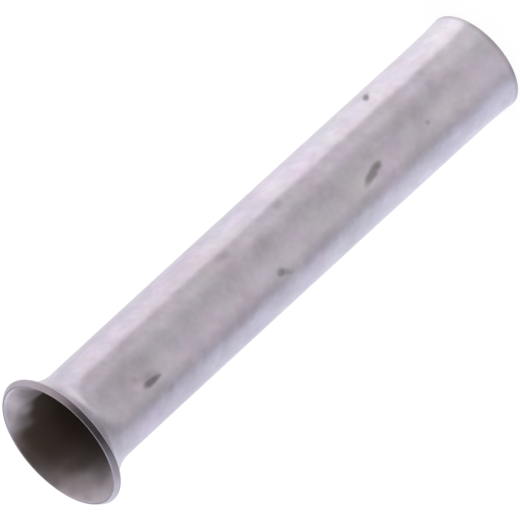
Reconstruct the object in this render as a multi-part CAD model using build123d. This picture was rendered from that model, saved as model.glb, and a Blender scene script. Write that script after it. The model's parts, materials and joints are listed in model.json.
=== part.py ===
from build123d import *

import os
from math import acos, asin, cos, degrees, sin

# Wire ferrule: a bare end sleeve that is crimped over the strands of one conductor.
# It is a single piece of thin tin-plated copper tube. One end is cut square, and the
# other is flared into a trumpet mouth that gathers the strands as they go in.
# Lengths are in millimetres. The origin is the centre of the cut end's plane, the
# sleeve stands on that end, and +Z runs along the bore to the mouth.

# Driving dimensions
sleeve_length = 12.0
bore_diameter = 1.76
wall = 0.15
mouth_diameter = 2.89
flare_radius = 1.0
bell_spread = 0.035
bell_length = 1.4
lip_rounding = 0.03
cut_edge_rounding = 0.02

# The plain barrel between the two shaped ends
bore_radius = bore_diameter / 2
barrel_radius = bore_radius + wall

# The mouth: the wall bends outward along two arcs about one centre, so it stays even.
# The mouth diameter is taken over the lip's outer corner, before that is rounded.
flare_rise = mouth_diameter / 2 - barrel_radius
flare_angle = acos(1 - flare_rise / flare_radius)
inner_flare_radius = flare_radius + wall

# The lip's inner corner is the highest point, and its rounding takes a little off
lip_setback = lip_rounding * (sin(flare_angle) + cos(flare_angle) - 1)
flare_height = inner_flare_radius * sin(flare_angle) - lip_setback
flare_start = sleeve_length - flare_height

# The cut end: the shears leave it a hair wider than the barrel
bell_radius = (bell_length**2 + bell_spread**2) / (2 * bell_spread)
inner_bell_radius = bell_radius + wall
bell_angle = asin(bell_length / bell_radius)
inner_bell_angle = asin(bell_length / inner_bell_radius)

# Direction of the barrel wall as seen from the centre of either bend, in degrees
TOWARD_AXIS = 180


def upward_bend(centre, radius, angle):
    """Arc of the wall that leaves the barrel upward and outward: 1 is its barrel end."""
    turn = degrees(angle)
    return CenterArc(centre, radius, TOWARD_AXIS - turn, turn)


def downward_bend(centre, radius, angle):
    """Arc of the wall that leaves the barrel downward and outward: 0 is its barrel end."""
    return CenterArc(centre, radius, TOWARD_AXIS, degrees(angle))


def sleeve_section():
    """Half section of the sleeve wall, with radius along X and height along Y."""
    flare_centre = (barrel_radius + flare_radius, flare_start)
    bell_centre = (barrel_radius + bell_radius, bell_length)
    with BuildSketch(Plane.XZ) as section:
        with BuildLine():
            outer_flare = upward_bend(flare_centre, flare_radius, flare_angle)
            inner_flare = upward_bend(flare_centre, inner_flare_radius, flare_angle)
            outer_bell = downward_bend(bell_centre, bell_radius, bell_angle)
            inner_bell = downward_bend(bell_centre, inner_bell_radius, inner_bell_angle)
            Line(outer_bell @ 0, outer_flare @ 1)
            Line(inner_bell @ 0, inner_flare @ 1)
            Line(outer_flare @ 0, inner_flare @ 0)
            Line(outer_bell @ 1, inner_bell @ 1)
        make_face()
        lip_corners = section.vertices().sort_by(Axis.Y)[-2:]
        fillet(lip_corners, lip_rounding)
        cut_corners = section.vertices().sort_by(Axis.Y)[:2]
        fillet(cut_corners, cut_edge_rounding)
    return section.sketch


def ferrule_sleeve():
    """The whole sleeve, turned about its bore axis."""
    return revolve(sleeve_section(), axis=Axis.Z)


os.makedirs("parts", exist_ok=True)
sleeve = ferrule_sleeve()
export_step(sleeve, "parts/ferrule_sleeve.step")
print("barrel radius", barrel_radius)
print("flare starts at", flare_start, "and turns", degrees(flare_angle), "degrees")
print("volume", sleeve.volume, "mm3")
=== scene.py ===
# %% [markdown]
# # A bare wire ferrule
# A ferrule like this is a short tin-plated copper tube. It slips over the strands of one
# conductor, mouth first, and is then crimped so that the strands can't splay in a terminal.
# The CAD part holds its true size and stands on its cut end with the mouth up. This script
# dresses that part: it turns a finer mesh of the same form, presses a few small pits into
# it, gives it a dull tin finish, and looks down past the mouth along the barrel.

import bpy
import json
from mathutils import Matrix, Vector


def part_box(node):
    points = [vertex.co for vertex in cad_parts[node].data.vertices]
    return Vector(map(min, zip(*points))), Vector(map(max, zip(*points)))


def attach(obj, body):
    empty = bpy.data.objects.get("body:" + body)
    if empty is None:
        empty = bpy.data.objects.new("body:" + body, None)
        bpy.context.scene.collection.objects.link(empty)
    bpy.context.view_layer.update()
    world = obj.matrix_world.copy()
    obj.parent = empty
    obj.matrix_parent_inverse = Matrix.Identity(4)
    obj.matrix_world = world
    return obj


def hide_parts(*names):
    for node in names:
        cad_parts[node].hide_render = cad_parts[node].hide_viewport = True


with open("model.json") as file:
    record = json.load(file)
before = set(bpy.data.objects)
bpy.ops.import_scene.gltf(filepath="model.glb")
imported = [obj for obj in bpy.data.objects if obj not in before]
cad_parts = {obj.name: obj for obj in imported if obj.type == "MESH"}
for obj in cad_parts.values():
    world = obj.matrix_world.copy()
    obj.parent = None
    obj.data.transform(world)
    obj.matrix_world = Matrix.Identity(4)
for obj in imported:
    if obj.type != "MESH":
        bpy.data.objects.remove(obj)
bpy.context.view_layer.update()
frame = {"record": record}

# %% [markdown]
# ## Sizes
# Blender works in metres here, but a ferrule is easier to think of in millimetres, so every
# size below is written in millimetres and turned into metres once, when the mesh is made.
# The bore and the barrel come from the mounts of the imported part, and the height from its
# box, so they can't drift away from it. The bends have no mount, so they are named here.

# %% Read the sizes of the sleeve
import json
from collections import namedtuple
from math import acos, asin, atan2, cos, degrees, pi, radians, sin, sqrt

import bmesh
import bpy
from mathutils import Matrix, Vector, noise

MM = 0.001
FULL_TURN = 360

mounts = {mount["name"]: mount for mount in frame["record"]["mounts"]}
bore_radius = mounts["wire_bore"]["dims"]["r_mm"]
barrel_radius = mounts["terminal_pin"]["dims"]["r_mm"]
sleeve_low, sleeve_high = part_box("ferrule_sleeve")
sleeve_length = round((sleeve_high.z - sleeve_low.z) / MM, 2)
wall = barrel_radius - bore_radius
print("bore", bore_radius, "barrel", barrel_radius, "length", sleeve_length)

lip_radius = 1.445
flare_radius = 1.0
lip_rounding = 0.03
bell_spread = 0.035
bell_length = 0.8
cut_edge_rounding = 0.02

# %% [markdown]
# ## Where the two bends lie
# The mouth is a sheet bent outward round one centre, so its outer and inner faces are arcs
# about that same centre and the wall keeps its thickness. The cut end spreads by a hair
# along a very long arc. Working the angles out from the sizes keeps each arc tangent to the
# straight barrel, which is what makes the highlight run into the mouth without a kink.

# %% Work out the bends
flare_angle = acos(1 - (lip_radius - barrel_radius) / flare_radius)
inner_flare_radius = flare_radius + wall
lip_setback = lip_rounding * (sin(flare_angle) + cos(flare_angle) - 1)
flare_start = sleeve_length - inner_flare_radius * sin(flare_angle) + lip_setback
flare_centre = (barrel_radius + flare_radius, flare_start)

bell_radius = (bell_length**2 + bell_spread**2) / (2 * bell_spread)
bell_angle = asin(bell_length / bell_radius)
bell_centre = (barrel_radius + bell_radius, bell_length)
print("flare turns", round(degrees(flare_angle), 1), "degrees from height", round(flare_start, 3))

# %% [markdown]
# ## Not quite true
# A thin tube that is drawn, cut and flared by machine never comes out perfectly straight, nor
# is its mouth quite central. Each error is only one to three hundredths of a millimetre here,
# but the eye notices a tube with none. One function gives the sideways drift at each height,
# and the mesh adds it to every ring.

# %% Say how the sleeve drifts
BOW = 0.014
MOUTH_OFFSET = 0.026
MOUTH_RUN_IN = 0.25


def smooth(x):
    """A soft step from 0 to 1."""
    x = min(max(x, 0.0), 1.0)
    return x * x * (3 - 2 * x)


def drift(height):
    """Sideways shift of the centre line along X, in millimetres."""
    from_middle = 2 * height / sleeve_length - 1
    bend_start = flare_start - MOUTH_RUN_IN
    in_mouth = smooth((height - bend_start) / (sleeve_length - bend_start))
    return -BOW * from_middle**2 - MOUTH_OFFSET * in_mouth


print("drift at the lip:", round(drift(sleeve_length), 3), "mm")

# %% [markdown]
# ## The marks on this sleeve
# The sleeve in the picture isn't new. Two long shallow pits, a smear, and some small specks
# and smudges sit on the side that faces the camera. Each is listed once, by its height on the
# barrel and its bearing round the axis, and both the mesh and the paint read that one list.
# Bearing 0 faces the front, -Y, and grows toward +X. The lean tips a long mark off the axis, and
# the taper makes it wider at its mouth end. A soft mark fades slowly at its rim. Sizes are in
# millimetres, and the darkening number says how far a mark's middle is covered: with dirt on most
# marks, and on near_pit_shadow with a soft halo of painted shadow beside the near pit.

# %% List the marks
Mark = namedtuple("Mark", "height bearing long wide lean taper soft deep dirt tint")
MARKS = {
    "near_pit": Mark(10.17, -18.6, 0.44, 0.14, -4, 0.40, 1.0, 0.012, 0.70, "red"),
    # Painted shadow, not dirt: a soft darker halo beside the near pit, laid on like a dirt mark.
    "near_pit_shadow": Mark(10.18, -15.0, 0.42, 0.24, -6, 0.3, 1.5, 0.0, 0.30, "red"),
    "near_spot": Mark(10.44, -5.5, 0.12, 0.14, 0, 0.0, 1.2, 0.0, 0.22, "olive"),
    "near_dots": Mark(9.90, -40.0, 0.22, 0.09, 10, 0.0, 1.4, 0.0, 0.15, "red"),
    "far_pit": Mark(3.80, -14.8, 0.50, 0.17, 17, 0.10, 1.2, 0.012, 0.62, "olive"),
    "far_pit_head": Mark(3.58, -11.5, 0.18, 0.10, 17, 0.0, 1.4, 0.0, 0.26, "red"),
    "smear": Mark(6.58, -27.6, 0.16, 0.14, -40, 0.2, 1.2, 0.004, 0.46, "olive"),
    "smear_tail": Mark(6.48, -31.0, 0.30, 0.13, -40, 0.3, 1.4, 0.0, 0.28, "red"),
    "edge_speck": Mark(2.55, 58.0, 0.12, 0.26, -32, 0.0, 1.2, 0.008, 0.74, "grey"),
    "low_speck": Mark(2.19, -14.0, 0.10, 0.10, 0, 0.0, 1.1, 0.003, 0.30, "olive"),
    "stripe_smudge": Mark(5.67, 30.0, 0.26, 0.18, 15, 0.0, 1.4, 0.0, 0.17, "red"),
    "upper_smudge": Mark(7.26, 28.2, 0.30, 0.16, 0, 0.0, 1.4, 0.0, 0.20, "red"),
    "middle_smudge": Mark(6.47, 7.6, 0.36, 0.34, 0, 0.0, 1.4, 0.0, 0.14, "red"),
}


def on_barrel(height, bearing, radius=barrel_radius):
    """Point on the barrel, in millimetres."""
    turn = radians(bearing)
    return Vector((radius * sin(turn), -radius * cos(turn), height))


for name, mark in MARKS.items():
    print(name, "at", [round(c, 3) for c in on_barrel(mark.height, mark.bearing)])

# %% [markdown]
# ## The wall, drawn as half a section
# A lathe part needs only half of its section: a closed loop of radius and height. It could
# be made from a cylinder with loops pulled about by hand, but a loop of computed points is
# exact and stays right when a size changes. Every arc below is a run of short steps.

# %% Helpers for the section
def arc(centre, radius, start, end, steps):
    """Points round a centre, from one angle to another in radians, both ends included."""
    turn = (end - start) / steps
    return [
        (centre[0] + radius * cos(start + turn * i), centre[1] + radius * sin(start + turn * i))
        for i in range(steps + 1)
    ]


def rounded_corner(before, corner, after, radius, steps):
    """The corner between two runs at about right angles, as an arc of this radius."""
    here = Vector(corner)
    back = (Vector(before) - here).normalized()
    ahead = (Vector(after) - here).normalized()
    centre = here + (back + ahead) * radius
    points = []
    for i in range(steps + 1):
        turn = i / steps * pi / 2
        points.append(tuple(centre - ahead * radius * cos(turn) - back * radius * sin(turn)))
    return points


sample = arc((0, 0), 1, 0, pi / 2, 2)
print("a quarter turn in two steps:", [(round(x, 2), round(y, 2)) for x, y in sample])

# %% [markdown]
# The straight barrel needs no rings at all for its shape, but the pits and the specks need
# many. So the rings lie far apart on plain stretches and close together where a mark is.

# %% Choose the heights of the barrel's rings
PLAIN_STEP = 0.25
MARK_STEP = 0.022
MARK_MARGIN = 1.3


def barrel_heights(low, high):
    """Ring heights between two levels: coarse on plain metal, fine across each mark."""
    heights = []
    height = low + MARK_STEP
    while height < high - MARK_STEP:
        heights.append(height)
        gaps = [
            abs(height - mark.height) - mark.long / 2 * MARK_MARGIN for mark in MARKS.values()
        ]
        height += min(max(min(gaps), MARK_STEP), PLAIN_STEP)
    return heights


print("rings on the outer barrel:", len(barrel_heights(bell_length, flare_start)))

# %% Draw the section, up the outside and down the inside
FLARE_STEPS = 24
BELL_STEPS = 10
LIP_STEPS = 10
CUT_EDGE_STEPS = 4
FACE_STEPS = 3
BORE_RINGS = 14


def between(start, end, steps):
    """Points inside a straight run, without its two ends."""
    first, last = Vector(start), Vector(end)
    return [tuple(first.lerp(last, i / steps)) for i in range(1, steps)]


mouth_turn = pi - flare_angle
outer_flare = arc(flare_centre, flare_radius, pi, mouth_turn, FLARE_STEPS)
inner_flare = arc(flare_centre, inner_flare_radius, mouth_turn, pi, FLARE_STEPS)
outer_bell = arc(bell_centre, bell_radius, pi + bell_angle, pi, BELL_STEPS)
inner_bell_angle = asin(bell_length / (bell_radius + wall))
inner_bell = arc(bell_centre, bell_radius + wall, pi, pi + inner_bell_angle, BELL_STEPS)

outer_lip, inner_lip = outer_flare[-1], inner_flare[0]
outer_foot, inner_foot = outer_bell[0], inner_bell[-1]

foot_out = rounded_corner(inner_foot, outer_foot, outer_bell[1], cut_edge_rounding, CUT_EDGE_STEPS)
foot_in = rounded_corner(inner_bell[-2], inner_foot, outer_foot, cut_edge_rounding, CUT_EDGE_STEPS)
lip_out = rounded_corner(outer_flare[-2], outer_lip, inner_lip, lip_rounding, LIP_STEPS)
lip_in = rounded_corner(outer_lip, inner_lip, inner_flare[1], lip_rounding, LIP_STEPS)

outside = foot_out + outer_bell[1:]
outside += [(barrel_radius, height) for height in barrel_heights(bell_length, flare_start)]
outside += outer_flare[:-1]
lip = lip_out + between(lip_out[-1], lip_in[0], FACE_STEPS) + lip_in
inside = inner_flare[1:]
inside += between(inner_flare[-1], inner_bell[0], BORE_RINGS)
inside += inner_bell[:-1]
foot = foot_in + between(foot_in[-1], foot_out[0], FACE_STEPS)
section = outside + lip + inside + foot
print("points in the section:", len(section))

# %% [markdown]
# ## Tarnish in the bore
# Plating hardly reaches into a narrow tube, so the bore has gone brown. The tool that opened
# the mouth rubbed the brown off again, but not evenly: deepest at the front and the sides,
# and hardly at all at the back. The wall is too thin to tell inside from outside by distance
# alone, so the mesh carries two numbers for each of its points, and the material reads them:
# whether the point is inside, and how brown it is there.

# %% Weigh the brown at a point of the inside
LIP_FADE = 0.05
FOOT_FADE = 0.8
BROWN_UNEVEN = 0.14
BROWN_PATCH_SIZE = 0.3

RubStop = namedtuple("RubStop", "bearing begins ends fullness")
RUB_STOPS = [
    RubStop(-180, -1.10, 0.30, 1.00),
    RubStop(-160, -0.80, 0.55, 0.96),
    RubStop(-145, -0.35, 0.62, 0.94),
    RubStop(-120, -0.35, 0.90, 0.83),
    RubStop(-60, 0.20, 1.20, 0.82),
    RubStop(60, 0.34, 1.30, 0.95),
    RubStop(95, 0.41, 1.30, 0.95),
    RubStop(108, 0.26, 0.56, 0.96),
    RubStop(130, 0.15, 0.41, 0.97),
    RubStop(142, -0.08, 0.41, 0.98),
    RubStop(151, -0.50, 0.33, 1.00),
    RubStop(163, -0.75, 0.20, 1.00),
    RubStop(180, -1.10, 0.30, 1.00),
]


def rubbed(bearing):
    """Depths below the lip where the brown begins and ends to rise, and how full it gets."""
    for here, there in zip(RUB_STOPS, RUB_STOPS[1:]):
        if bearing <= there.bearing:
            break
    share = (bearing - here.bearing) / (there.bearing - here.bearing)
    return [low + share * (high - low) for low, high in zip(here[1:], there[1:])]


def inside_weight(point):
    """0 at the lip's edge, 1 a little below it."""
    return smooth((sleeve_length - point.z) / LIP_FADE)


def brown_weight(point):
    """0 where the inside is rubbed bright, 1 where it has gone brown."""
    from_mouth = sleeve_length - point.z
    from_mouth += BROWN_UNEVEN * noise.noise(point / BROWN_PATCH_SIZE)
    begins, ends, fullness = rubbed(degrees(atan2(point.x, -point.y)))
    browned = fullness * smooth((from_mouth - begins) / (ends - begins))
    return min(browned, smooth(point.z / FOOT_FADE))


for stop in RUB_STOPS[::3]:
    print("at bearing", stop.bearing, "the brown is full", stop.ends, "mm below the lip")

# %% [markdown]
# ## Pressing the pits in
# A pit could be faked with a bump in the material, but a bump vanishes in an exported model
# and never shows at the silhouette. Here the rings are dense enough to push real vertices
# inward. The shape is an oval on the unrolled barrel, turned by its lean. Its rim is made
# uneven with a little noise, so that no two pits look stamped by one tool.

# %% Measure how deep a point lies in the pits
RIM_UNEVEN = 0.3
RIM_PATCH_SIZE = 0.15
NARROWEST_TAPER = 0.2


def rim_distance(mark, point):
    """0 at a mark's middle and about 1 on its uneven rim, on the unrolled barrel."""
    bearing = atan2(point.x, -point.y)
    across = barrel_radius * (bearing - radians(mark.bearing))
    down = mark.height - point.z
    lean = radians(mark.lean)
    along = 2 * (down * cos(lean) + across * sin(lean)) / mark.long
    aside = 2 * (across * cos(lean) - down * sin(lean)) / mark.wide
    widened = max(1 - mark.taper * along, NARROWEST_TAPER)
    rim = sqrt(along**2 + (aside / widened) ** 2)
    return rim * (1 + RIM_UNEVEN * noise.noise(point / RIM_PATCH_SIZE))


def cover(mark, point):
    """1 in the middle of a mark, falling softly to 0 past its rim."""
    return smooth((1 + mark.soft / 2 - rim_distance(mark, point)) / mark.soft)


def near_marks(point):
    """The marks whose reach takes in a point's height."""
    return [mark for mark in MARKS.values() if abs(point.z - mark.height) < mark.long]


def pit_depth(point):
    """Depth in millimetres that the marks press into the outside of the barrel."""
    return sum(mark.deep * cover(mark, point) for mark in near_marks(point))


def dirt_and_shade_weight(tint, point):
    """How much dirt of a tint the marks hold at a point of the outside; on near_pit_shadow it is
    painted shadow.
    """
    weights = [mark.dirt * cover(mark, point) for mark in near_marks(point) if mark.tint == tint]
    return max(weights, default=0.0)


pit_middle = on_barrel(MARKS["near_pit"].height, MARKS["near_pit"].bearing)
print("deepest dent:", round(pit_depth(pit_middle), 3), "mm")

# %% [markdown]
# ## Turning the section on a lathe
# Blender's Spin tool or a Screw modifier would turn the section too. Writing the rings by
# hand takes as few lines, and each vertex can then be pushed by the pits as it is made.
# The turns meet without a seam, because the last column joins the first.

# %% Prepare the masks
# The tints of the dirt masks; the red one also carries the painted shadow beside the near pit.
DIRT_AND_SHADE_TINTS = ("red", "olive", "grey")

masks = {"inside": [], "brown": [], "sheared": []}
for tint in DIRT_AND_SHADE_TINTS:
    masks[tint + "_dirt"] = []


def weigh_point(point, is_outside, is_inside):
    """Adds what one point of the section weighs to every mask."""
    masks["inside"].append(inside_weight(point) if is_inside else 0.0)
    masks["brown"].append(brown_weight(point) if is_inside else 0.0)
    masks["sheared"].append(0.0 if is_outside or is_inside else 1.0)
    for tint in DIRT_AND_SHADE_TINTS:
        masks[tint + "_dirt"].append(dirt_and_shade_weight(tint, point) if is_outside else 0.0)


print("masks:", ", ".join(masks))

# %% Turn the points of the sleeve
COLUMNS = 312

sleeve_mesh = bpy.data.meshes.new("ferrule_sleeve_turned")
sleeve_bm = bmesh.new()
lip_end = len(outside) + len(lip)
inside_end = lip_end + len(inside)
columns = []
for column in range(COLUMNS):
    bearing = FULL_TURN * column / COLUMNS
    verts = []
    for index, (radius, height) in enumerate(section):
        is_outside = index < len(outside)
        is_inside = lip_end <= index < inside_end
        point = on_barrel(height, bearing, radius)
        weigh_point(point, is_outside, is_inside)
        if is_outside:
            point = on_barrel(height, bearing, radius - pit_depth(point))
        point.x += drift(height)
        verts.append(sleeve_bm.verts.new(point * MM))
    columns.append(verts)
print("columns:", len(columns), "with", len(columns[0]), "points each")

# %% Join the points with faces
for column in range(COLUMNS):
    here, there = columns[column], columns[(column + 1) % COLUMNS]
    for index in range(len(section)):
        above = (index + 1) % len(section)
        face = sleeve_bm.faces.new((here[index], there[index], there[above], here[above]))
        face.smooth = True
sleeve_bm.to_mesh(sleeve_mesh)
sleeve_bm.free()
print("faces:", len(sleeve_mesh.polygons), "triangles:", 2 * len(sleeve_mesh.polygons))

# %% Store the masks and place the sleeve
for mask_name, weights in masks.items():
    attribute = sleeve_mesh.attributes.new(mask_name, "FLOAT", "POINT")
    attribute.data.foreach_set("value", weights)

turned_sleeve = bpy.data.objects.new("turned_sleeve", sleeve_mesh)
bpy.context.scene.collection.objects.link(turned_sleeve)
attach(turned_sleeve, "root")
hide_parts("ferrule_sleeve")
print("masks stored:", len(sleeve_mesh.attributes), "mesh attributes in all")

# %% [markdown]
# ## A small kit for materials
# A Blender material is a graph of nodes. A few helpers keep the graphs short enough to read.
# The first adds a node and sets it up. Each of the others adds one kind of node and links it:
# a colour ramp, a blend, a tint, a stretched range, or a field of noise. A number that is the
# same all over a surface goes straight on its socket.

# %% Helpers for nodes and colours
def add_node(tree, kind, settings=(), sockets=()):
    """A new node with its properties and its unlinked inputs set."""
    node = tree.nodes.new(kind)
    for name, value in dict(settings).items():
        setattr(node, name, value)
    for name, value in dict(sockets).items():
        node.inputs[name].default_value = value
    return node


def ramp(tree, factor, stops):
    """A colour ramp with these (place, colour) stops, driven by a factor."""
    node = tree.nodes.new("ShaderNodeValToRGB")
    elements = node.color_ramp.elements
    elements[0].position, elements[0].color = stops[0][0], (*stops[0][1], 1)
    elements[1].position, elements[1].color = stops[-1][0], (*stops[-1][1], 1)
    for place, colour in stops[1:-1]:
        elements.new(place).color = (*colour, 1)
    tree.links.new(factor, node.inputs["Fac"])
    return node.outputs["Color"]


# A Mix node has sockets for each kind of data: these are the factor, first and second
COLOUR_SOCKETS = (0, 6, 7)
COLOUR_RESULT = 2


def mix_colour(tree, factor, first, second):
    """Blends two colours: each is a socket or a plain colour."""
    node = add_node(tree, "ShaderNodeMix", {"data_type": "RGBA"})
    factor_in, first_in, second_in = (node.inputs[i] for i in COLOUR_SOCKETS)
    tree.links.new(factor, factor_in)
    for socket, value in ((first_in, first), (second_in, second)):
        if isinstance(value, tuple):
            socket.default_value = (*value, 1)
        else:
            tree.links.new(value, socket)
    return node.outputs[COLOUR_RESULT]


def tinted(tree, colour, tint):
    """One colour multiplied by another, channel by channel."""
    node = add_node(tree, "ShaderNodeVectorMath", {"operation": "MULTIPLY"})
    tree.links.new(colour, node.inputs[0])
    tree.links.new(tint, node.inputs[1])
    return node.outputs["Vector"]


print("sockets that blend two colours:", COLOUR_SOCKETS)

# %% Helpers for numbers and noise
NoiseKind = namedtuple("NoiseKind", "shift scale detail roughness")


def map_range(tree, value, low, high, to_low, to_high):
    """Stretches a number from one range to another, and clamps it there."""
    sockets = {"From Min": low, "From Max": high, "To Min": to_low, "To Max": to_high}
    node = add_node(tree, "ShaderNodeMapRange", (), sockets)
    tree.links.new(value, node.inputs["Value"])
    return node.outputs["Result"]


def share_of(tree, value, span):
    """0 at the low end of a span, 1 at its high end, and clamped past both."""
    return map_range(tree, value, *span, 0.0, 1.0)


def shifted(tree, vector, distance):
    """The same vector moved along every axis, so that its noise is another pattern."""
    node = add_node(tree, "ShaderNodeVectorMath", {"operation": "ADD"})
    node.inputs[1].default_value = (distance, distance, distance)
    tree.links.new(vector, node.inputs[0])
    return node.outputs["Vector"]


def noise_field(tree, vector, kind):
    """Noise over a vector in millimetres. The scale is in patches a millimetre."""
    if kind.shift:
        vector = shifted(tree, vector, kind.shift)
    sockets = {"Scale": kind.scale, "Detail": kind.detail, "Roughness": kind.roughness}
    node = add_node(tree, "ShaderNodeTexNoise", (), sockets)
    tree.links.new(vector, node.inputs["Vector"])
    return node.outputs["Fac"]


print("a kind of noise has a", ", a ".join(NoiseKind._fields))

# %% [markdown]
# ## Dull tin
# Tin plating is a metal, so it has no paint colour of its own: its base colour is how much
# of the surroundings it mirrors. This tin mirrors a little over half, with a lilac cast. It
# is satin, not polished, and it is blotchy: soft patches drift between light and dark,
# between rose and sage, and between blue and straw. An image texture could carry that, but
# noise in object space needs no unwrapping and follows the metal to its back, where no photo
# looks. The rose and blue fields multiply the grey one, so no patch repeats another's shape.

# %% Start the tin material
tin = bpy.data.materials.new("dull_tin")
tin.use_nodes = True
tin_tree = tin.node_tree
tin_shader = tin_tree.nodes["Principled BSDF"]

place = add_node(tin_tree, "ShaderNodeTexCoord")
to_mm = add_node(tin_tree, "ShaderNodeVectorMath", {"operation": "SCALE"}, {"Scale": 1 / MM})
tin_tree.links.new(place.outputs["Object"], to_mm.inputs[0])
in_mm = to_mm.outputs["Vector"]


def noise_mix(kind, span, first, second):
    """Blends two colours of the tin by a noise, whose values within a span do the blending."""
    amount = share_of(tin_tree, noise_field(tin_tree, in_mm, kind), span)
    return mix_colour(tin_tree, amount, first, second)


print("started the material", tin.name)

# %% Paint the blotches
TIN_DULL = (0.540, 0.500, 0.561)
TIN_PLAIN = (0.640, 0.592, 0.664)
TIN_BRIGHT = (0.740, 0.685, 0.768)
ROSE = (1.045, 0.962, 1.012)
SAGE = (0.955, 1.038, 0.988)
BLUE = (0.988, 0.990, 1.055)
STRAW = (1.012, 1.010, 0.945)
GREY_NOISE = NoiseKind(shift=0, scale=0.55, detail=4.0, roughness=0.85)
ROSE_NOISE = NoiseKind(shift=40, scale=0.9, detail=4.0, roughness=0.85)
BLUE_NOISE = NoiseKind(shift=80, scale=1.2, detail=4.0, roughness=0.85)
GREY_SPAN = (0.30, 0.70)
GREY_MIDDLE = 0.50
TINT_SPAN = (0.25, 0.75)

patches = noise_field(tin_tree, in_mm, GREY_NOISE)
greys = [(GREY_SPAN[0], TIN_DULL), (GREY_MIDDLE, TIN_PLAIN), (GREY_SPAN[1], TIN_BRIGHT)]
tin_colour = ramp(tin_tree, patches, greys)
tin_colour = tinted(tin_tree, tin_colour, noise_mix(ROSE_NOISE, TINT_SPAN, SAGE, ROSE))
tin_colour = tinted(tin_tree, tin_colour, noise_mix(BLUE_NOISE, TINT_SPAN, STRAW, BLUE))
print("nodes in the blotches:", len(tin_tree.nodes))

# %% [markdown]
# Tin grows in small flat crystals, so the patches have plateaus a third of a millimetre across
# with quick edges between them. A narrow range on one more noise makes those. The colour of the
# plating also runs from a little lighter at the cut end to a little darker at the mouth.

# %% Add the plateaus and the run along the height
PLATEAU_DARK = (0.975, 0.975, 0.975)
PLATEAU_LIGHT = (1.025, 1.025, 1.025)
CUT_END_LEVEL = (1.095, 1.095, 1.095)
MOUTH_END_LEVEL = (0.905, 0.905, 0.905)
PLATEAU_NOISE = NoiseKind(shift=120, scale=2.6, detail=1.5, roughness=0.5)
PLATEAU_SPAN = (0.42, 0.58)

plateaus = noise_mix(PLATEAU_NOISE, PLATEAU_SPAN, PLATEAU_DARK, PLATEAU_LIGHT)
tin_colour = tinted(tin_tree, tin_colour, plateaus)

height_split = add_node(tin_tree, "ShaderNodeSeparateXYZ")
tin_tree.links.new(in_mm, height_split.inputs[0])
height_mm = height_split.outputs["Z"]
toward_mouth = share_of(tin_tree, height_mm, (0.0, sleeve_length))
# Lighter toward the cut end and darker toward the mouth, evenly along the height.
end_to_end_level = mix_colour(tin_tree, toward_mouth, CUT_END_LEVEL, MOUTH_END_LEVEL)
tin_colour = tinted(tin_tree, tin_colour, end_to_end_level)
print("level at the cut end:", CUT_END_LEVEL[0], "and at the mouth:", MOUTH_END_LEVEL[0])

# %% [markdown]
# ## Darker places
# The bore is dull and brown, and where it is rubbed it is still faintly stained. The sheared edges
# are a shade darker than the plating. A thin band just above the cut is painted shade: it stands
# in for the darker reflection on the slightly belled edge of the cut end. The marks hold dirt, and
# one soft mark beside the near pit is painted shadow. The two long pits differ: the one near the
# mouth is reddish, the other olive. The masks made with the mesh say where each of these goes, and
# the height alone says where the band of painted shade is.

# %% Darken the edges
EDGE_COLOUR = (0.360, 0.320, 0.342)
SHEARED_SHARE = 0.38
# The strength and the heights of a band of painted shade just above the cut.
CUT_EDGE_SHADE_SHARE = 0.55
CUT_EDGE_SHADE_HEIGHTS = (0.03, 0.11)


def mask(tree, name):
    """The value of a mesh attribute."""
    return add_node(tree, "ShaderNodeAttribute", {"attribute_name": name}).outputs["Fac"]


# Painted shade: this band above the cut stands in for the darker reflection on the slightly belled
# edge of the cut end.
cut_edge_shade = map_range(tin_tree, height_mm, *CUT_EDGE_SHADE_HEIGHTS, CUT_EDGE_SHADE_SHARE, 0.0)
tin_colour = mix_colour(tin_tree, cut_edge_shade, tin_colour, EDGE_COLOUR)
sheared = map_range(tin_tree, mask(tin_tree, "sheared"), 0.0, 1.0, 0.0, SHEARED_SHARE)
tin_colour = mix_colour(tin_tree, sheared, tin_colour, EDGE_COLOUR)
print("the painted shade band ends", CUT_EDGE_SHADE_HEIGHTS[1], "mm above the cut")

# %% Colour the bore
RUBBED_DULL = (0.420, 0.366, 0.398)
RUBBED_CLEAN = (0.520, 0.464, 0.508)
BROWN_COLOUR = (0.053, 0.036, 0.028)
STAIN_NOISE = NoiseKind(shift=160, scale=2.0, detail=3.0, roughness=0.6)
STAIN_SPAN = (0.38, 0.62)

inside_amount = mask(tin_tree, "inside")
brown_amount = mask(tin_tree, "brown")
rubbed_colour = noise_mix(STAIN_NOISE, STAIN_SPAN, RUBBED_DULL, RUBBED_CLEAN)
tin_colour = mix_colour(tin_tree, inside_amount, tin_colour, rubbed_colour)
tin_colour = mix_colour(tin_tree, brown_amount, tin_colour, BROWN_COLOUR)
print("nodes with the bore:", len(tin_tree.nodes))

# %% Fill the marks with dirt, and the halo beside the near pit with painted shadow
DIRT_AND_SHADE_COLOURS = {
    "red": (0.120, 0.085, 0.100),
    "olive": (0.135, 0.125, 0.095),
    "grey": (0.120, 0.120, 0.130),
}

# The red mask also lays on the painted shadow beside the near pit.
for tint in DIRT_AND_SHADE_TINTS:
    amount = mask(tin_tree, tint + "_dirt")
    tin_colour = mix_colour(tin_tree, amount, tin_colour, DIRT_AND_SHADE_COLOURS[tint])
tin_tree.links.new(tin_colour, tin_shader.inputs["Base Color"])
print("kinds of dirt:", len(DIRT_AND_SHADE_COLOURS))

# %% [markdown]
# ## Satin and unevenness
# Roughness decides how far the mirrored light spreads. It wanders with the same patches, so
# the bright stripe along the barrel is soft in one place and crisper in the next. Inside, the
# tin is rubbed rougher, and the brown is an oxide: hardly a metal any more, so it stays dark
# and flat instead of mirroring. The bump has three layers: broad waves left by drawing the
# tube, small dents, and grain.

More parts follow.
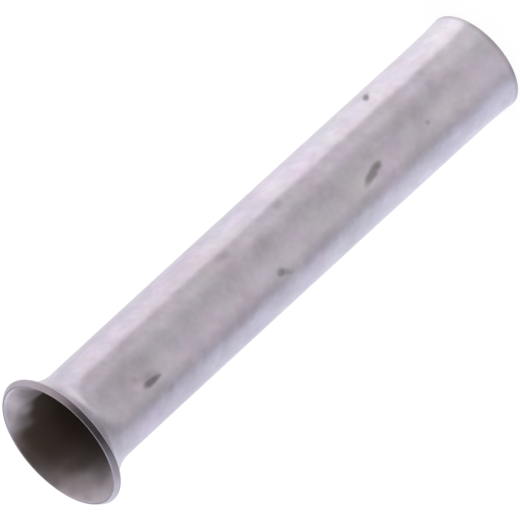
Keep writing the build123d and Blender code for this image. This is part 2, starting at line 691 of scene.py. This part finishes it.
# %% Set the roughness and the shine
SATIN = (0.19, 0.27)
INSIDE_ROUGHNESS = 0.36
RUBBED_METALLIC = 0.55
BROWN_METALLIC = 0.05
PLAIN_GLOSS = 0.5
BROWN_GLOSS = 0.12


# The same three sockets of a Mix node for plain numbers
NUMBER_SOCKETS = (0, 2, 3)
NUMBER_RESULT = 0


def mix_number(tree, factor, first, second):
    """Blends a number, which is a socket or plain, toward a plain one."""
    node = add_node(tree, "ShaderNodeMix", {"data_type": "FLOAT"})
    factor_in, first_in, second_in = (node.inputs[i] for i in NUMBER_SOCKETS)
    tree.links.new(factor, factor_in)
    second_in.default_value = second
    if isinstance(first, float):
        first_in.default_value = first
    else:
        tree.links.new(first, first_in)
    return node.outputs[NUMBER_RESULT]


satin = map_range(tin_tree, patches, *GREY_SPAN, *SATIN)
roughness = mix_number(tin_tree, inside_amount, satin, INSIDE_ROUGHNESS)
tin_tree.links.new(roughness, tin_shader.inputs["Roughness"])
metallic = mix_number(tin_tree, inside_amount, 1.0, RUBBED_METALLIC)
metallic = mix_number(tin_tree, brown_amount, metallic, BROWN_METALLIC)
tin_tree.links.new(metallic, tin_shader.inputs["Metallic"])
gloss = mix_number(tin_tree, brown_amount, PLAIN_GLOSS, BROWN_GLOSS)
tin_tree.links.new(gloss, tin_shader.inputs["Specular IOR Level"])
print("roughness from", SATIN[0], "to", SATIN[1], "outside and", INSIDE_ROUGHNESS, "inside")

# %% Layer the bumps
WAVES = NoiseKind(shift=0, scale=1.1, detail=2.0, roughness=0.5)
DENTS = NoiseKind(shift=0, scale=3.5, detail=3.0, roughness=0.6)
GRAIN = NoiseKind(shift=0, scale=16.0, detail=2.0, roughness=0.6)
BUMP_DEPTHS = ((WAVES, 0.008), (DENTS, 0.0026), (GRAIN, 0.0005))

normal = None
for kind, depth_mm in BUMP_DEPTHS:
    bump = add_node(tin_tree, "ShaderNodeBump", (), {"Strength": 1.0, "Distance": depth_mm * MM})
    tin_tree.links.new(noise_field(tin_tree, in_mm, kind), bump.inputs["Height"])
    if normal is not None:
        tin_tree.links.new(normal, bump.inputs["Normal"])
    normal = bump.outputs["Normal"]
tin_tree.links.new(normal, tin_shader.inputs["Normal"])
sleeve_mesh.materials.append(tin)
print("nodes in the tin:", len(tin_tree.nodes))

# %% [markdown]
# ## A white floor
# The sleeve stands on white paper. The camera sees a glow on top of the paper's matte
# shading, so it comes out white, while the matte part of it still darkens where the sleeve
# keeps the light off. Mirror rays pass it by, because the paper drum of the next step stands
# for all that the metal reflects. The floor's two sizes are in metres.

# %% Lay the floor
FLOOR_RADIUS = 1.0
FLOOR_GAP = 0.000002
FLOOR_SEGMENTS = 96

floor_mesh = bpy.data.meshes.new("floor")
floor_bm = bmesh.new()
bmesh.ops.create_circle(
    floor_bm, cap_ends=True, segments=FLOOR_SEGMENTS, radius=FLOOR_RADIUS
)
floor_bm.to_mesh(floor_mesh)
floor_bm.free()
floor = bpy.data.objects.new("floor", floor_mesh)
floor.location.z = -FLOOR_GAP
bpy.context.scene.collection.objects.link(floor)
floor.visible_glossy = False
print("floor radius:", FLOOR_RADIUS, "m")

# %% Make the paper
PAPER_MATTE = 0.12
PAPER_GLOW = 0.90

paper = bpy.data.materials.new("white_paper")
paper.use_nodes = True
paper_tree = paper.node_tree
paper_tree.nodes.clear()
paper_grey = (PAPER_MATTE, PAPER_MATTE, PAPER_MATTE, 1)
paper_matte = add_node(paper_tree, "ShaderNodeBsdfDiffuse", (), {"Color": paper_grey})
paper_glow = add_node(paper_tree, "ShaderNodeEmission", (), {"Color": (1, 1, 1, 1)})
paper_light_path = add_node(paper_tree, "ShaderNodeLightPath")
from_camera = paper_light_path.outputs["Is Camera Ray"]
glow_level = map_range(paper_tree, from_camera, 0, 1, 0, PAPER_GLOW)
paper_tree.links.new(glow_level, paper_glow.inputs["Strength"])
paper_sum = add_node(paper_tree, "ShaderNodeAddShader")
paper_tree.links.new(paper_matte.outputs[0], paper_sum.inputs[0])
paper_tree.links.new(paper_glow.outputs[0], paper_sum.inputs[1])
paper_out = add_node(paper_tree, "ShaderNodeOutputMaterial")
paper_tree.links.new(paper_sum.outputs[0], paper_out.inputs["Surface"])
floor_mesh.materials.append(paper)
print("nodes in the paper:", len(paper_tree.nodes))

# %% [markdown]
# ## What the metal mirrors
# A satin metal shows its surroundings more than its own colour, so the surroundings are the
# real lighting job here. Picture a drum of white paper round the sleeve, open toward the
# viewer. One half of it is lit, and the edge of that half draws the sharp border of the
# bright stripe on the barrel. In front, where the camera stands, the room is greyer, and one
# side gets bluish daylight. Higher up the room is darker, which is why the inside of the
# mouth looks deep. The lists give plain levels by bearing, for four heights of the room. A
# tint is laid over the upper three, so that a level can be changed without its colour.

# %% Name the levels round the sleeve
DRUM_LEVELS = [
    (-180, 0.92), (-135, 0.91), (-115, 0.88), (-97, 0.81), (-76, 0.55), (-66, 0.565),
    (-46, 0.72), (-20, 0.70), (0, 0.615), (20, 0.60), (42, 0.775), (58, 0.73),
    (69, 0.70), (72, 1.12), (104, 1.15), (130, 1.04), (150, 0.965), (180, 0.88),
]
HORIZON_LEVELS = [
    (-180, 0.55), (-150, 1.20), (-120, 0.96), (-92, 0.52), (-66, 0.08), (-20, 0.03),
    (15, 0.18), (50, 0.35), (75, 0.55), (95, 0.80), (125, 0.92), (150, 0.72), (180, 0.55),
]
ROOM_LEVELS = [
    (-180, 0.42), (-160, 0.68), (-137, 0.92), (-113, 0.84), (-90, 0.52), (-76, 0.38),
    (-57, 0.19), (-43, 0.04), (0, 0.05), (18, 0.08), (30, 0.16), (46, 0.31),
    (65, 0.52), (90, 0.72), (130, 0.86), (160, 0.68), (180, 0.42),
]
UNDERFOOT_LEVELS = [
    (-180, 0.62), (-85, 0.44), (-50, 0.64), (-15, 0.74), (20, 0.74), (50, 0.62),
    (80, 0.86), (110, 1.25), (135, 0.95), (160, 0.66), (180, 0.62),
]
print("stops round the drum:", len(DRUM_LEVELS))

# %% Name the tints
DAYLIGHT = (0.960, 0.985, 1.075)
SKYLIGHT = (0.995, 0.985, 1.020)
LAMPLIGHT = (1.030, 1.000, 1.005)
WARM_SHADE = (1.10, 1.00, 0.99)
TINTS = [
    (-180, DAYLIGHT), (-90, DAYLIGHT), (-62, LAMPLIGHT), (85, LAMPLIGHT), (110, SKYLIGHT),
    (180, SKYLIGHT),
]
ROOM_TINTS = [
    (-180, DAYLIGHT), (-50, DAYLIGHT), (-15, WARM_SHADE), (60, WARM_SHADE), (110, LAMPLIGHT),
    (180, LAMPLIGHT),
]
ROOM_TOP = (0.17, 0.155, 0.13)
PLAIN_WHITE = (1.0, 1.0, 1.0)
print("stops in the tints:", len(TINTS), "and", len(ROOM_TINTS))

# %% Helpers for light by direction
def round_the_drum(tree, bearing, stops):
    """A ramp whose stops are (bearing in degrees, colour or plain level)."""
    placed = []
    for degrees_round, value in stops:
        colour = value if isinstance(value, tuple) else (value, value, value)
        placed.append(((degrees_round + FULL_TURN / 2) / FULL_TURN, colour))
    return ramp(tree, bearing, placed)


def direction_parts(tree):
    """The bearing of a ray, from 0 to 1 round from the back, and its upward part."""
    direction = add_node(tree, "ShaderNodeTexCoord").outputs["Generated"]
    parts = add_node(tree, "ShaderNodeSeparateXYZ")
    tree.links.new(direction, parts.inputs[0])
    backward = add_node(tree, "ShaderNodeMath", {"operation": "MULTIPLY"})
    backward.inputs[1].default_value = -1
    tree.links.new(parts.outputs["Y"], backward.inputs[0])
    bearing = add_node(tree, "ShaderNodeMath", {"operation": "ARCTAN2"})
    tree.links.new(parts.outputs["X"], bearing.inputs[0])
    tree.links.new(backward.outputs[0], bearing.inputs[1])
    return share_of(tree, bearing.outputs[0], (-pi, pi)), parts.outputs["Z"]


print("bearings run from", -FULL_TURN // 2, "to", FULL_TURN // 2, "degrees")

# %% Start the paper drum as a world
world = bpy.data.worlds.new("paper_drum")
bpy.context.scene.world = world
world.use_nodes = True
sky = world.node_tree
sky.nodes.clear()
around, upward = direction_parts(sky)
print("started the world", world.name)

# %% Stack the heights of the room
UNDERFOOT_TO_DRUM = (-0.95, -0.65)
DRUM_TO_HORIZON = (-0.36, 0.06)
HORIZON_TO_ROOM = (0.30, 0.52)
ROOM_TO_TOP = (0.86, 0.98)

tint_round = round_the_drum(sky, around, TINTS)
drum = tinted(sky, round_the_drum(sky, around, DRUM_LEVELS), tint_round)
horizon = tinted(sky, round_the_drum(sky, around, HORIZON_LEVELS), tint_round)
room_tint_round = round_the_drum(sky, around, ROOM_TINTS)
room = tinted(sky, round_the_drum(sky, around, ROOM_LEVELS), room_tint_round)
surroundings = round_the_drum(sky, around, UNDERFOOT_LEVELS)
rises = (
    (UNDERFOOT_TO_DRUM, drum),
    (DRUM_TO_HORIZON, horizon),
    (HORIZON_TO_ROOM, room),
    (ROOM_TO_TOP, ROOM_TOP),
)
for span, above in rises:
    surroundings = mix_colour(sky, share_of(sky, upward, span), surroundings, above)
print("heights of the room:", len(rises) + 1)

# %% [markdown]
# Only mirror rays see the drum. Matte surfaces are lit by plain white all round, so any
# colour on them renders as it is written, and the camera sees plain white past the floor.

# %% Show the drum to mirror rays only
sky_path = add_node(sky, "ShaderNodeLightPath")
seen = mix_colour(sky, sky_path.outputs["Is Glossy Ray"], PLAIN_WHITE, surroundings)
background = add_node(sky, "ShaderNodeBackground")
sky.links.new(seen, background.inputs["Color"])
sky_out = add_node(sky, "ShaderNodeOutputWorld")
sky.links.new(background.outputs[0], sky_out.inputs["Surface"])
print("nodes in the world:", len(sky.nodes))

# %% [markdown]
# ## The camera
# The picture was taken from far off with a long lens: the barrel's two edges stay parallel.
# The line of sight makes 62 degrees with the bore, and the camera is rolled, so a sleeve
# that stands upright lies across the frame from lower left to upper right. The object's
# middle is a little off the frame's centre, and the camera is shifted bodily to match.

# %% Aim the camera
FRAME_PIXELS = 520
PIXELS_PER_MM = 53.71
MIDDLE_PIXEL = (267.2, 250.9)
SIGHT_FROM_AXIS = radians(61.6)
ROLL = radians(132.51)

sight = Vector((0, -sin(SIGHT_FROM_AXIS), cos(SIGHT_FROM_AXIS)))
level_right = Vector((1, 0, 0))
level_up = Vector((0, cos(SIGHT_FROM_AXIS), sin(SIGHT_FROM_AXIS)))
frame_right = level_right * cos(ROLL) - level_up * sin(ROLL)
frame_up = level_right * sin(ROLL) + level_up * cos(ROLL)

middle = Vector((0, 0, sleeve_length / 2))
off_right = (MIDDLE_PIXEL[0] - FRAME_PIXELS / 2) / PIXELS_PER_MM
off_up = (FRAME_PIXELS / 2 - MIDDLE_PIXEL[1]) / PIXELS_PER_MM
aim = middle - frame_right * off_right - frame_up * off_up
print("aim, millimetres:", [round(c, 3) for c in aim])

# %% Place the camera
CAMERA_DISTANCE = 360.0
SENSOR_WIDTH = 36.0
CLIP_START = 0.01

camera_data = bpy.data.cameras.new("camera")
camera_data.sensor_width = SENSOR_WIDTH
camera_data.lens = SENSOR_WIDTH * CAMERA_DISTANCE * PIXELS_PER_MM / FRAME_PIXELS
camera_data.clip_start = CLIP_START
camera = bpy.data.objects.new("camera", camera_data)
turn = Matrix((frame_right, frame_up, sight)).transposed().to_4x4()
camera.matrix_world = Matrix.Translation((aim + sight * CAMERA_DISTANCE) * MM) @ turn
bpy.context.scene.collection.objects.link(camera)
bpy.context.scene.camera = camera
bpy.context.scene.view_settings.view_transform = "Standard"
print("lens", round(camera_data.lens), "mm at", CAMERA_DISTANCE, "mm")
